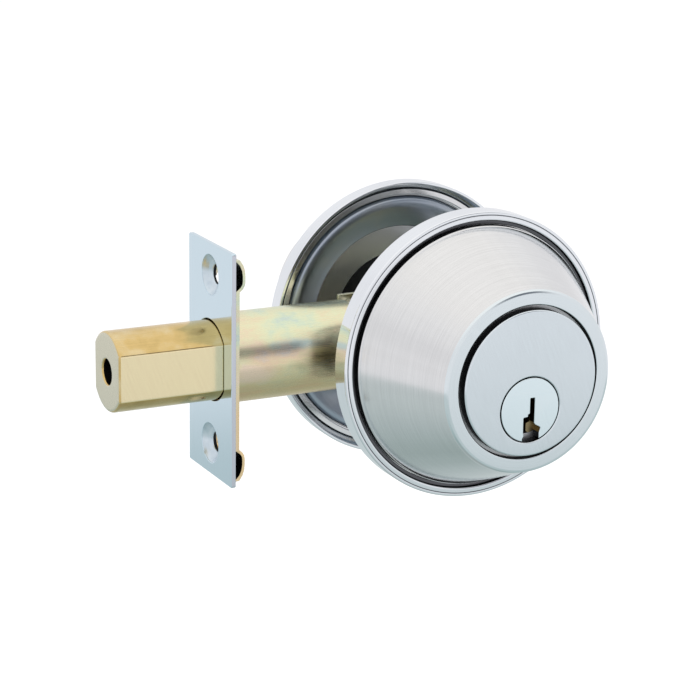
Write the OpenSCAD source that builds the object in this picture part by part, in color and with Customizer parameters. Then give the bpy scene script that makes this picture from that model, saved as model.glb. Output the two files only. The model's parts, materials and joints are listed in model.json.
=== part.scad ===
// Tubular deadbolt door lock: keyed cylinder outside, thumb-turn inside,
// sliding bolt with crank drive. Millimetres.
// Origin: centre of the door's cross bore, on the bolt's axis.
// -X towards the door's edge (the bolt goes out that way), -Y outside, +Z up.

/* [Door] */
// distance from the faceplate's front to the middle of the cross bore
backset = 60; // [60:0.5:70]
// outside door face, measured from the bolt's axis
door_out = 17.5; // [17.5:0.1:20]
// inside door face, measured from the bolt's axis
door_in = 15; // [14.8:0.1:20]

/* [Faceplate] */
// height of the faceplate on the door's edge
plate_h = 57; // [56:0.5:60]
// width of the faceplate
plate_w = 25.4; // [25:0.1:28]
// thickness of the faceplate
plate_t = 1.2; // [1.2:0.1:1.4]
// distance between the two screw holes
screw_gap = 41.6; // [41:0.1:43]
// radius of the screw holes at their narrowest
screw_r = 2.4; // [2.2:0.1:2.5]
// radius of the screw dimples at the front
dimple_r = 4.6; // [4.2:0.1:4.8]

/* [Bolt] */
// radius of the bolt
bolt_r = 9.66; // [9.5:0.01:9.7]
// distance across the bolt's two flats
bolt_flats = 15.7; // [15:0.1:16.5]
// how far the thrown bolt stands out of the faceplate
bolt_out = 26.3; // [26:0.1:28]
// travel of the bolt
bolt_throw = 25; // [24:0.1:25]
// radius of the hole for the hardened pin
pin_hole_r = 3.04; // [2.8:0.01:3.2]

/* [Latch case] */
// outer radius of the tube around the bolt
tube_r = 10.87; // [10.8:0.01:11.2]
// inner radius of the tube
tube_in_r = 9.74; // [9.74:0.01:9.8]
// half height of the two cheek plates
cheek_h = 11.3; // [11:0.1:11.5]
// thickness of a cheek plate
cheek_t = 1.2; // [1:0.1:1.4]

/* [Roses] */
// outer radius of both roses
rose_r = 35.45; // [35:0.05:37]
// depth of the outside rose's polished rim from the door
rim_d = 5.35; // [5.2:0.05:5.6]
// depth of the inside rose's rim from the door
rim_in_d = 4.5; // [4.4:0.05:4.8]
// radius of the tapered collar where it meets the rim
cone_r = 32.15; // [31.8:0.05:32.2]
// outer radius of the collar's nose
nose_r = 22.23; // [21.8:0.01:22.6]
// depth of the nose's outer edge from the door
nose_d = 28.9; // [28.8:0.1:29.2]
// radius of the hole in the collar's nose
nose_hole_r = 18.51; // [18.5:0.01:18.54]

/* [Cylinder] */
// radius of the cylinder's face disc
cap_r = 17.6; // [17:0.1:17.8]
// depth of the cylinder's face from the door
cap_d = 30.96; // [30.6:0.02:31.2]
// how far the plug's axis lies below the bolt's axis
plug_drop = 6.33; // [6.3:0.01:6.4]
// radius of the plug's face
plug_face_r = 7.7; // [7.5:0.05:7.8]
// radius of the plug's barrel
plug_r = 6.4; // [6.3:0.05:6.4]

/* [Thumb-turn] */
// length of the thumb-turn's wing
wing_l = 30; // [28:1:38]
// thickness of the wing
wing_t = 7.5; // [6:0.5:9]
// how far the wing stands out of its base
wing_h = 16; // [12:1:18]

/* [Hidden] */

xf = -backset;                       // faceplate front
xb = xf + plate_t;                   // backing plate front
xt = xb + 0.9;                       // tube front
xe = xf - bolt_out;                  // bolt end
xr = -52;                            // bolt rear when thrown
tube_end = -24;
crank_r = bolt_throw / 2 / sin(45);  // crank arm, centre to pin
pin_x = -bolt_throw / 2;             // drive pin when thrown
pin_z = -plug_drop + bolt_throw / 2;
post_x = 13;
post_z = 16;
ring_d = nose_d + 0.97;              // front of the nose ring
slot_w = 6.6;
slot_t = 2.1;
e = 0.01;

module rev_out(p) rotate([90, 0, 0]) rotate_extrude($fn = 120) polygon(p);
module rev_in(p) rotate([-90, 0, 0]) rotate_extrude($fn = 120) polygon(p);
module rod_y(r, y0, y1, x = 0, z = 0) translate([x, y0, z]) rotate([-90, 0, 0]) cylinder(r = r, h = y1 - y0, $fn = 60);
module rod_x(r, x0, x1, y = 0, z = 0) translate([x0, y, z]) rotate([0, 90, 0]) cylinder(r = r, h = x1 - x0, $fn = 96);
module rod_z(r, z0, z1, x = 0, y = 0) translate([x, y, z0]) cylinder(r = r, h = z1 - z0, $fn = 36);
module box(x0, x1, y0, y1, z0, z1) translate([x0, y0, z0]) cube([x1 - x0, y1 - y0, z1 - z0]);

// cross section of the bolt, grown by g, between two X planes
module bolt_bar(x0, x1, g) intersection() {
  rod_x(bolt_r + g, x0, x1);
  box(x0, x1, -bolt_flats / 2 - g, bolt_flats / 2 + g, -20, 20);
}

// rim of a rose, from the door face at f to its front at f + d; a deep groove runs round inside its polished front
function rim_profile(f, d) = [
  [rose_r, f], [rose_r, f + d - 0.45], [rose_r - 0.13, f + d - 0.13], [rose_r - 0.45, f + d],
  [cone_r + 1.5, f + d], [cone_r + 1.45, f + d - 0.9], [cone_r + 0.2, f + d - 0.9],
  [cone_r + 0.2, f + d - 1.5], [cone_r + 1.05, f + d - 1.5], [rose_r - 0.75, f]];

// nose and outer face of a tapered collar
function collar_outer(f, d) = [
  [cone_r, f + d - 1.6], [cone_r, f + d + 0.35], [cone_r - 0.25, f + d + 0.62],
  [nose_r, f + nose_d], [nose_r - 0.12, f + nose_d + 0.45], [nose_r - 0.45, f + nose_d + 0.83],
  [nose_r - 0.95, f + ring_d], [nose_hole_r + 0.3, f + ring_d], [nose_hole_r, f + ring_d - 0.3],
  [nose_hole_r, f + ring_d - 3.4], [nose_r - 0.9, f + ring_d - 3.4], [cone_r - 1.5, f + d + 0.4]];

// the collars are held behind the rim's lip by their feet
function collar_profile(f, d) = concat([[cone_r + 1, f + 3.0], [cone_r + 1, f + d - 1.6]], collar_outer(f, d), [[cone_r - 1.5, f + 3.0]]);
function collar_in_profile(f, d) = concat([[cone_r + 1, f + d - 2.1], [cone_r + 1, f + d - 1.6]], collar_outer(f, d),
  [[cone_r - 1.5, f + d - 0.5], [cone_r - 0.65, f + d - 0.5], [cone_r - 0.65, f + d - 1.6], [cone_r - 0.3, f + d - 1.6], [cone_r - 0.3, f + d - 2.1]]);

module faceplate() color([0.83, 0.86, 0.88]) difference() {
  union() {
    box(xf, xb, -plate_w / 2, plate_w / 2, -plate_h / 2, plate_h / 2);
    for (s = [-1, 1]) translate([xf + 0.2, 0, s * screw_gap / 2]) rotate([0, 90, 0]) cylinder(h = 2.3, r1 = dimple_r + 0.9, r2 = screw_r + 0.8, $fn = 72);
  }
  bolt_bar(xf - 1, xb + 1, 0.3);
  for (s = [-1, 1]) {
    translate([xf - e, 0, s * screw_gap / 2]) rotate([0, 90, 0]) cylinder(h = 1.9 + e, r1 = dimple_r, r2 = screw_r, $fn = 72);
    rod_x(screw_r, xf, xf + 4, 0, s * screw_gap / 2);
  }
}

// thin inner plate; each end is pressed back into a pocket that clears the screw's dish
module backing_plate() color([0.86, 0.85, 0.72]) difference() {
  union() {
    box(xb, xb + 0.9, -plate_w / 2 + 0.2, plate_w / 2 - 0.2, -19.5, 19.5);
    for (s = [0, 1]) mirror([0, 0, s]) translate([0, plate_w / 2 - 0.2, 0]) rotate([90, 0, 0]) linear_extrude(plate_w - 0.4)
      polygon([[xb, 19.4], [xb + 1.15, 20.3], [xb + 1.6, 21], [xb + 1.7, 21.7], [xb + 1.7, 23], [xb + 1.5, 24.3], [xb + 0.95, 25.6], [xb, 26.6],
        [xb, 27], [xb + 0.95, 26.9], [xb + 1.8, 25.6], [xb + 2.2, 24.4], [xb + 2.35, 23], [xb + 2.35, 21.6], [xb + 2.2, 20.7], [xb + 1.7, 19.9], [xb + 0.9, 19.2], [xb, 19]]);
  }
  bolt_bar(xb - 1, xb + 3, 0.4);
  for (s = [-1, 1]) {
    rod_x(dimple_r + 0.35, xb - 1, xb + 1.35, 0, s * screw_gap / 2);
    rod_x(screw_r + 0.5, xb - 1, xb + 3, 0, s * screw_gap / 2);
  }
}

module latch_tube() color([0.85, 0.80, 0.58]) difference() {
  rod_x(tube_r, xt, tube_end);
  rod_x(tube_in_r, xt - 1, tube_end + 1);
}

// disc that closes the tube's rear and carries the cheeks
module tube_bulkhead() color([0.62, 0.63, 0.62]) difference() {
  rod_x(tube_in_r - 0.04, tube_end - 2.6, tube_end);
  box(tube_end - 3, tube_end + 1, -3, 3, -0.3, 7.3);
  for (s = [-1, 1]) box(tube_end - 3, tube_end + 1, s > 0 ? 3.95 : -5.25 - e, s > 0 ? 5.25 + e : -3.95, -7.05, 7.05);
}

module cheek(y0) difference() {
  union() {
    box(tube_end - 2.6, tube_end + 0.1, y0, y0 + cheek_t, -7, 7);
    box(tube_end + 0.1, 20, y0, y0 + cheek_t, -cheek_h, cheek_h);
    box(19, 23, y0, y0 + cheek_t, -cheek_h + 3, cheek_h - 3);
    for (s = [-1, 1]) rod_y(3, y0, y0 + cheek_t, 20, s * (cheek_h - 3));
  }
  rod_y(4.05, y0 - 1, y0 + cheek_t + 1, 0, -plug_drop);
  for (x = [-21, 20.5]) for (z = [-8.4, 8.4]) rod_y(1.22, y0 - 1, y0 + cheek_t + 1, x, z);
}
module cheek_outer() color([0.72, 0.70, 0.60]) cheek(-4 - cheek_t);
module cheek_inner() color([0.72, 0.70, 0.60]) cheek(4);

module frame_spacers() color([0.60, 0.60, 0.60])
  for (x = [-21, 20.5]) for (z = [-8.4, 8.4]) {
    rod_y(1.8, -3.97, 3.97, x, z);
    rod_y(1.2, -4 - cheek_t - 0.3, 4 + cheek_t + 0.3, x, z);
  }

module bolt() color([0.82, 0.74, 0.54]) difference() {
  intersection() {
    translate([xe, 0, 0]) rotate([0, 90, 0]) rotate_extrude($fn = 96)
      polygon([[0, 0], [bolt_r - 1, 0], [bolt_r - 0.3, 0.35], [bolt_r, 1], [bolt_r, xr - xe], [0, xr - xe]]);
    translate([0, 0, -20]) linear_extrude(40)
      polygon([[xe, -bolt_flats / 2 + 0.7], [xe + 0.7, -bolt_flats / 2], [xr, -bolt_flats / 2],
               [xr, bolt_flats / 2], [xe + 0.7, bolt_flats / 2], [xe, bolt_flats / 2 - 0.7]]);
  }
  rod_x(pin_hole_r, xe - 1, xr - 9.5);
  translate([xe - e, 0, 0]) rotate([0, 90, 0]) cylinder(h = 0.4, r1 = pin_hole_r + 0.4, r2 = pin_hole_r, $fn = 60);
  box(xr - 8, xr + 1, -2.7, 2.7, -0.1, 7.1);
  rod_y(1.52, -20, 20, xr - 4, 3.5);
}

module hardened_pin() color([0.45, 0.46, 0.48]) rod_x(pin_hole_r - 0.05, xe + 2.4, xr - 9.55);

module tail_plate(y0) difference() {
  union() {
    box(xr - 7.9, pin_x - 5.7, y0, y0 + 1.2, 0.5, 6.5);
    box(pin_x - 5.8, pin_x + 5.8, y0, y0 + 1.2, 0.5, 11.6);
  }
  box(pin_x - 2.65, pin_x + 2.65, y0 - 1, y0 + 2.2, pin_z - 2.5, 20);
  rod_y(1.52, y0 - 1, y0 + 2.2, xr - 4, 3.5);
}
module tail_plate_outer() color([0.75, 0.73, 0.66]) tail_plate(-2.6);
module tail_plate_inner() color([0.75, 0.73, 0.66]) tail_plate(1.4);
module tail_rivet() color([0.55, 0.55, 0.56]) {
  rod_y(1.5, -7.6, 7.6, xr - 4, 3.5);
}

module crank() color([0.70, 0.68, 0.60]) difference() {
  union() {
    rod_y(4.8, -3.9, 3.9, 0, -plug_drop);
    rod_y(4, -4 - cheek_t - 0.4, 4 + cheek_t + 0.4, 0, -plug_drop);
    translate([0, 0, -plug_drop]) rotate([0, -45, 0]) box(-3.1, 3.1, -1.2, 1.2, 0, crank_r);
    rod_y(3.4, -1.2, 1.2, pin_x, pin_z);
  }
  rod_y(2.02, -3, 3, pin_x, pin_z);
  box(-slot_t / 2, slot_t / 2, -8, 8, -plug_drop - slot_w / 2, -plug_drop + slot_w / 2);
}
module drive_pin() color([0.50, 0.50, 0.52]) rod_y(2, -3.8, 3.8, pin_x, pin_z);

module outside_rose() color([0.84, 0.87, 0.88]) rev_out(rim_profile(door_out, rim_d));
module outside_collar() color([0.80, 0.82, 0.83]) rev_out(collar_profile(door_out, rim_d));

pins = [0, 3.96, 7.92, 11.88, 15.84];          // pin chambers along the plug
pin_low = [1.6, -0.2, 0.8, -0.9, 0.4];         // lower ends of the key pins

module cylinder_housing() color([0.66, 0.67, 0.68]) difference() {
  rev_out([[0, door_out], [29.5, door_out], [29.5, door_out + 2.5], [17, door_out + 2.5], [17, door_out + 25.5],
    [nose_hole_r - 0.06, door_out + 25.5], [nose_hole_r - 0.06, door_out + cap_d - 2.56], [0, door_out + cap_d - 2.56]]);
  rod_y(plug_r + 0.05, -60, 0, 0, -plug_drop);
  for (p = pins) rod_z(1.5, -plug_drop, 12.7, 0, -door_out - 9.5 - p);
  box(-2.2, 2.2, -door_out - 27.6, -door_out - 7, 12.6, 30);
  for (s = [-1, 1]) rod_y(2.42, -door_out - 3, 0, s * post_x, s * post_z);
}
module cylinder_cap() color([0.83, 0.85, 0.86]) difference() {
  rev_out([[0, door_out + cap_d - 2.5], [cap_r, door_out + cap_d - 2.5], [cap_r, door_out + cap_d - 0.3], [cap_r - 0.3, door_out + cap_d], [0, door_out + cap_d]]);
  rod_y(plug_face_r + 0.28, -60, 0, 0, -plug_drop);
}

module keyway() translate([0, 0, -plug_drop]) rotate([90, 0, 0]) translate([0, 0, door_out + 2.5]) linear_extrude(40)
  polygon([[0, 2.8], [1.2, 2.8], [1.2, -3.6], [0.3, -4], [0.3, -5.8], [0.9, -6.5], [0.9, -9],
    [-1.2, -9], [-1.2, -6.3], [-1.7, -5.7], [-1.7, -1.9], [-0.5, -1.7], [-0.5, -1.1], [0, -0.9]]);

module key_plug() color([0.85, 0.89, 0.88]) difference() {
  union() {
    rod_y(plug_r, -door_out - cap_d + 2.4, -door_out + 0.2, 0, -plug_drop);
    rod_y(5, -door_out, -door_out + 3.5, 0, -plug_drop);
    translate([0, 0, -plug_drop]) rev_out([[0, door_out + cap_d - 2.44], [plug_face_r, door_out + cap_d - 2.44],
      [plug_face_r, door_out + cap_d - 0.35], [plug_face_r - 0.35, door_out + cap_d], [0, door_out + cap_d]]);
  }
  keyway();
  for (p = pins) rod_z(1.45, -plug_drop - 1.2, 10, 0, -door_out - 9.5 - p);
  box(-slot_t / 2, slot_t / 2, -door_out - 0.5, 0, -plug_drop - slot_w / 2, -plug_drop + slot_w / 2);
  rod_z(0.82, -plug_drop - 8, -plug_drop + 8, 0, 0 - door_out + 2.5);
}

module key_pins() color([0.80, 0.66, 0.34])
  for (i = [0:4]) translate([0, -door_out - 9.5 - pins[i], -plug_drop + pin_low[i]]) {
    rotate_extrude($fn = 36) polygon([[0, 0], [0.5, 0], [1.4, 0.8], [1.4, 6.2 - pin_low[i]], [0, 6.2 - pin_low[i]]]);
  }
module driver_pins() color([0.80, 0.66, 0.34])
  for (p = pins) rod_z(1.45, -plug_drop + plug_r + 0.08, -plug_drop + plug_r + 4.6, 0, -door_out - 9.5 - p);
module pin_springs() color([0.75, 0.76, 0.77])
  for (p = pins) translate([0, -door_out - 9.5 - p, -plug_drop + plug_r + 4.75])
    linear_extrude(height = 7.6, twist = -360 * 5, slices = 50) translate([0.95, 0]) circle(r = 0.3, $fn = 6);
module chamber_cover() color([0.72, 0.72, 0.70]) box(-2.15, 2.15, -door_out - 27.5, -door_out - 7.1, 12.65, 14);

module plug_clip() color([0.55, 0.56, 0.58]) difference() {
  rod_y(7.6, -door_out + 0.3, -door_out + 1.5, 0, -plug_drop);
  rod_y(5.03, -door_out - 1, -door_out + 3, 0, -plug_drop);
  box(0, 10, -door_out, -door_out + 2, -plug_drop - 2.6, -plug_drop + 2.6);
}
module tailpiece() color([0.78, 0.76, 0.70]) difference() {
  box(-slot_t / 2 + 0.05, slot_t / 2 - 0.05, -door_out - 0.4, door_in + 18.9, -plug_drop - slot_w / 2 + 0.05, -plug_drop + slot_w / 2 - 0.05);
  rod_z(0.82, -plug_drop - 8, -plug_drop + 8, 0, -door_out + 2.5);
}
module tail_pin() color([0.50, 0.50, 0.52]) rod_z(0.8, -plug_drop - 4.9, -plug_drop + 4.9, 0, -door_out + 2.5);

module mounting_posts() color([0.62, 0.63, 0.64]) for (s = [-1, 1]) difference() {
  union() {
    rod_y(3.4, -door_out, 8, s * post_x, s * post_z);
    rod_y(2.4, -door_out - 2.4, -door_out + 1, s * post_x, s * post_z);
  }
  rod_y(2.15, -11, 9, s * post_x, s * post_z);
}

module inside_rose() color([0.84, 0.87, 0.88]) rev_in(rim_profile(door_in, rim_in_d));
module inside_collar() color([0.80, 0.82, 0.83]) rev_in(collar_in_profile(door_in, rim_in_d));

// pressed plate that the two screws clamp to the door: rounded lip, slope, step, flat ring, neck
module inside_plate() color([0.50, 0.53, 0.53]) difference() {
  rev_in([[16, door_in + 5.3], [23.3, door_in + 5.3], [23.3, door_in + 4.15], [23.6, door_in + 3.9], [28.7, door_in + 2.05],
    [29.6, door_in + 1.95], [30.4, door_in + 2.05], [30.9, door_in + 2.35], [31.3, door_in + 3], [31.3, door_in + rim_in_d - 0.6],
    [30.3, door_in + rim_in_d - 0.6], [29.9, door_in + 3.2], [29, door_in + 3.25], [24.5, door_in + 4.95], [24.5, door_in + 6.5],
    [17.1, door_in + 6.5], [17.1, door_in + 13.9], [16, door_in + 13.9]]);
  for (s = [-1, 1]) rod_y(2.3, door_in, door_in + 10, s * post_x, s * post_z);
}
module inside_core() color([0.60, 0.62, 0.63]) difference() {
  rev_in([[0, door_in + 13.95], [17.1, door_in + 13.95], [17.1, door_in + 26],
    [nose_hole_r - 0.05, door_in + 26], [nose_hole_r - 0.05, door_in + cap_d - 2.56], [0, door_in + cap_d - 2.56]]);
  rod_y(5.05, door_in, door_in + 40, 0, -plug_drop);
  rod_y(8.2, door_in, door_in + 16.4, 0, -plug_drop);
}
module inside_cap() color([0.83, 0.85, 0.86]) difference() {
  rev_in([[0, door_in + cap_d - 2.5], [cap_r, door_in + cap_d - 2.5], [cap_r, door_in + cap_d - 0.3], [cap_r - 0.3, door_in + cap_d], [0, door_in + cap_d]]);
  rod_y(5.3, 0, 80, 0, -plug_drop);
}

module mounting_screws() color([0.66, 0.66, 0.66]) for (s = [-1, 1]) difference() {
  union() {
    rod_y(2.1, -8, door_in + 6.6, s * post_x, s * post_z);
    translate([s * post_x, 0, s * post_z]) rev_in([[0, door_in + 6.55], [3.35, door_in + 6.55], [3.35, door_in + 7.5], [2.6, door_in + 8.5], [0, door_in + 8.8]]);
  }
  for (a = [0, 90]) translate([s * post_x, door_in + 7.6, s * post_z]) rotate([0, a, 0]) box(-1.7, 1.7, 0, 3, -0.4, 0.4);
}

module turn_spindle() color([0.62, 0.62, 0.62]) difference() {
  union() {
    rod_y(5, door_in + 11, door_in + 14.9, 0, -plug_drop);
    rod_y(4.2, door_in + 14.8, door_in + 16.2, 0, -plug_drop);
    rod_y(5, door_in + 16.1, door_in + cap_d + 0.1, 0, -plug_drop);
    rod_y(3.2, door_in + cap_d, door_in + cap_d + 8, 0, -plug_drop);
  }
  box(-slot_t / 2, slot_t / 2, door_in, door_in + 20, -plug_drop - slot_w / 2, -plug_drop + slot_w / 2);
}
module turn_clip() color([0.55, 0.56, 0.58]) difference() {
  rod_y(7.4, door_in + 15, door_in + 16, 0, -plug_drop);
  rod_y(4.23, door_in + 14, door_in + 17, 0, -plug_drop);
  box(0, 10, door_in + 14, door_in + 17, -plug_drop - 2.4, -plug_drop + 2.4);
}
module thumb_turn() color([0.80, 0.82, 0.83]) difference() {
  union() {
    translate([0, 0, -plug_drop]) rev_in([[0, door_in + cap_d + 0.15], [9.4, door_in + cap_d + 0.15], [9.4, door_in + cap_d + 1.2],
      [8.6, door_in + cap_d + 2.2], [6.5, door_in + cap_d + 3.4], [0, door_in + cap_d + 3.4]]);
    intersection() {
      translate([0, door_in + cap_d + 1, -plug_drop]) rotate([-90, 0, 0]) union() {
        translate([-wing_l / 2 + wing_t / 2, -wing_t / 2, 0]) cube([wing_l - wing_t, wing_t, wing_h + 1]);
        for (s = [-1, 1]) translate([s * (wing_l - wing_t) / 2, 0, 0]) cylinder(r = wing_t / 2, h = wing_h + 1, $fn = 60);
      }
      translate([0, 0, -plug_drop - 20]) linear_extrude(40) polygon([[-5.5, door_in + cap_d + 1], [5.5, door_in + cap_d + 1],
        [6.5, door_in + cap_d + 4], [wing_l / 2, door_in + cap_d + wing_h * 0.55], [wing_l / 2, door_in + cap_d + wing_h * 0.8],
        [wing_l / 2 - 3, door_in + cap_d + wing_h + 1], [-wing_l / 2 + 3, door_in + cap_d + wing_h + 1],
        [-wing_l / 2, door_in + cap_d + wing_h * 0.8], [-wing_l / 2, door_in + cap_d + wing_h * 0.55], [-6.5, door_in + cap_d + 4]]);
    }
  }
  rod_y(3.23, door_in + cap_d - 1, door_in + cap_d + 8.1, 0, -plug_drop);
}

faceplate();
backing_plate();
latch_tube();
tube_bulkhead();
cheek_outer();
cheek_inner();
frame_spacers();
bolt();
hardened_pin();
tail_plate_outer();
tail_plate_inner();
tail_rivet();
crank();
drive_pin();
outside_rose();
outside_collar();
cylinder_housing();
cylinder_cap();
key_plug();
key_pins();
driver_pins();
pin_springs();
chamber_cover();
plug_clip();
tailpiece();
tail_pin();
mounting_posts();
inside_rose();
inside_collar();
inside_plate();
inside_core();
inside_cap();
mounting_screws();
turn_spindle();
thumb_turn();
turn_clip();
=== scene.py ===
import json
import math

import bmesh
import bpy
import numpy as np
from mathutils import Matrix, Vector


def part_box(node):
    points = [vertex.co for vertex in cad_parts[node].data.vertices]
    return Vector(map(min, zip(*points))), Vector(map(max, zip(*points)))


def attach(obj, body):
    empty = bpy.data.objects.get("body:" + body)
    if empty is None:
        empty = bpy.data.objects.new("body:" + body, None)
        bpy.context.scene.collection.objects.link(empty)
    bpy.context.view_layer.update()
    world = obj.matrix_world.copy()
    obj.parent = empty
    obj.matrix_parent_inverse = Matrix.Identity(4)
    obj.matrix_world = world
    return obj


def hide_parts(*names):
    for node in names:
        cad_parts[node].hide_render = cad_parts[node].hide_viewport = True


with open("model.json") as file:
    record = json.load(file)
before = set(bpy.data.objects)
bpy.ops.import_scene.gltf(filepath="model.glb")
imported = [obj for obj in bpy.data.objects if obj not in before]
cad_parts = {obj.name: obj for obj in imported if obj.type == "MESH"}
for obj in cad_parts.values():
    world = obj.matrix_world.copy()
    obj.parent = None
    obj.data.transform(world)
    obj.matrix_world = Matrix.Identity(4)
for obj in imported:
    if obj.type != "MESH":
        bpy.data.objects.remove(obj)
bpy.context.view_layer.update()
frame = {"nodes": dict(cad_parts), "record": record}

MM = 0.001
FT0 = 1.2


def B(n):
    lo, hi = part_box(n)
    return np.array(lo) / MM, np.array(hi) / MM


# ---------------------------------------------------------------- sizes, mm
ro_lo, ro_hi = B("outside_rose")
ri_lo, ri_hi = B("inside_rose")
co_lo, co_hi = B("outside_collar")
cap_lo, cap_hi = B("cylinder_cap")
pl_lo, pl_hi = B("key_plug")
fp_lo, fp_hi = B("faceplate")
bo_lo, bo_hi = B("bolt")
tu_lo, tu_hi = B("latch_tube")
tt_lo, tt_hi = B("thumb_turn")

ROSE = ro_hi[0]                      # radius of the roses
DO, DI = -ro_hi[1], ri_lo[1]         # door faces
RIM = {-1: -ro_lo[1] - DO, 1: ri_hi[1] - DI}    # rim depths, outside and inside
CONE = co_hi[0] - 1.0                # collar radius at the rim
RING = -co_lo[1] - DO                # depth of the nose ring's front
NOSE_D = RING - 0.97
NOSE = 22.23
NOSE_HOLE = 18.51
CAP = cap_hi[0]
CAP_D = -cap_lo[1] - DO
PLUG_Z = (tt_lo[2] + tt_hi[2]) / 2
PLUG = pl_hi[0]
XF = fp_lo[0]
XT = tu_lo[0]


# ---------------------------------------------------------------- mesh tools
def fillet(pts, n=6):
    """Rounds the corners of a closed polygon of (x, y, radius)."""
    out = []
    m = len(pts)
    for i in range(m):
        p = np.array(pts[i][:2], float)
        r = pts[i][2] if len(pts[i]) > 2 else 0.0
        a = np.array(pts[i - 1][:2], float) - p
        b = np.array(pts[(i + 1) % m][:2], float) - p
        la, lb = np.linalg.norm(a), np.linalg.norm(b)
        a, b = a / la, b / lb
        ang = math.acos(max(-1, min(1, float(a @ b))))
        if r <= 0 or ang > math.pi - 0.02:
            out.append(tuple(p))
            continue
        t = min(r / math.tan(ang / 2), la * 0.48, lb * 0.48)
        r = t * math.tan(ang / 2)
        c = p + (a + b) / np.linalg.norm(a + b) * (r / math.sin(ang / 2))
        p0, p1 = p + a * t, p + b * t
        a0 = math.atan2(*(p0 - c)[::-1])
        a1 = math.atan2(*(p1 - c)[::-1])
        d = (a1 - a0 + math.pi) % (2 * math.pi) - math.pi
        for k in range(n + 1):
            s = a0 + d * k / n
            out.append((c[0] + r * math.cos(s), c[1] + r * math.sin(s)))
    return out


def loft(rings, close=False, cap0=False, cap1=False):
    """Quads between rings of equal length. close joins the last ring to the first."""
    n = len(rings[0])
    verts = np.concatenate([np.asarray(r, float) for r in rings])
    faces = []
    m = len(rings)
    for i in range(m if close else m - 1):
        a, b = i * n, ((i + 1) % m) * n
        for j in range(n):
            k = (j + 1) % n
            faces.append((a + j, a + k, b + k, b + j))
    if cap0:
        faces.append(tuple(range(n)))
    if cap1:
        faces.append(tuple(range((m - 1) * n, m * n)))
    return verts, faces


def ring_y(r, y, cx=0.0, cz=0.0, segs=256):
    t = np.arange(segs) * 2 * math.pi / segs
    return np.stack([cx + r * np.cos(t), np.full(segs, y), cz + r * np.sin(t)], 1)


def ring_x(r, x, cy=0.0, cz=0.0, segs=192):
    t = np.arange(segs) * 2 * math.pi / segs
    return np.stack([np.full(segs, x), cy + r * np.cos(t), cz + r * np.sin(t)], 1)


def lathe_y(profile, cx=0.0, cz=0.0, segs=256):
    return loft([ring_y(r, y, cx, cz, segs) for r, y in profile], close=True)


def join(*parts):
    verts, faces, n = [], [], 0
    for v, f in parts:
        verts.append(v)
        faces += [tuple(i + n for i in q) for q in f]
        n += len(v)
    return np.concatenate(verts), faces


def from_curve(outlines, depth, bevel, place):
    """A flat plate with holes, rounded edges. outlines[0] is the rim; depth is its full thickness; place maps
    (u, v, w) with w from -depth/2 to depth/2 to x, y, z in mm."""
    cu = bpy.data.curves.new("tmp", "CURVE")
    cu.dimensions, cu.fill_mode = "2D", "BOTH"
    cu.extrude = (depth / 2 - bevel) * MM
    cu.bevel_depth, cu.bevel_resolution, cu.offset = bevel * MM, 2, -bevel * MM
    for pts in outlines:
        sp = cu.splines.new("POLY")
        sp.points.add(len(pts) - 1)
        for q, (u, v) in zip(sp.points, pts):
            q.co = (u * MM, v * MM, 0, 1)
        sp.use_cyclic_u = True
    ob = bpy.data.objects.new("tmp", cu)
    bpy.context.scene.collection.objects.link(ob)
    dg = bpy.context.evaluated_depsgraph_get()
    me = bpy.data.meshes.new_from_object(ob.evaluated_get(dg))
    bm = bmesh.new()
    bm.from_mesh(me)
    bmesh.ops.remove_doubles(bm, verts=bm.verts, dist=1e-7)
    v = np.array([place(*(np.array(q.co) / MM)) for q in bm.verts])
    bm.verts.index_update()
    f = [tuple(q.index for q in t.verts) for t in bm.faces]
    bm.free()
    bpy.data.objects.remove(ob)
    bpy.data.curves.remove(cu)
    bpy.data.meshes.remove(me)
    return v, f


def piece(name, data, body, nodes, mat, sharp=32, weighted=True, paint=None, flat=None):
    verts, faces = data
    me = bpy.data.meshes.new(name)
    me.from_pydata([tuple(v) for v in np.asarray(verts) * MM], [], faces)
    me.validate()
    bm = bmesh.new()
    bm.from_mesh(me)
    bmesh.ops.recalc_face_normals(bm, faces=bm.faces)
    bm.to_mesh(me)
    bm.free()
    me.shade_smooth()
    me.set_sharp_from_angle(angle=math.radians(sharp))
    for q in me.polygons:
        if flat is not None and abs(q.normal[flat]) > 0.99995:
            q.use_smooth = False
    ob = bpy.data.objects.new(name, me)
    bpy.context.scene.collection.objects.link(ob)
    if weighted:
        w = ob.modifiers.new("weighted", "WEIGHTED_NORMAL")
        w.keep_sharp, w.weight = True, 80
    mats = mat if isinstance(mat, list) else [mat]
    for m in mats:
        ob.data.materials.append(m)
    if paint:
        for q in me.polygons:
            q.material_index = paint(*(np.array(q.center) / MM), *q.normal)
    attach(ob, body)
    if nodes:
        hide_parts(*nodes)
    return ob


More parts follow.
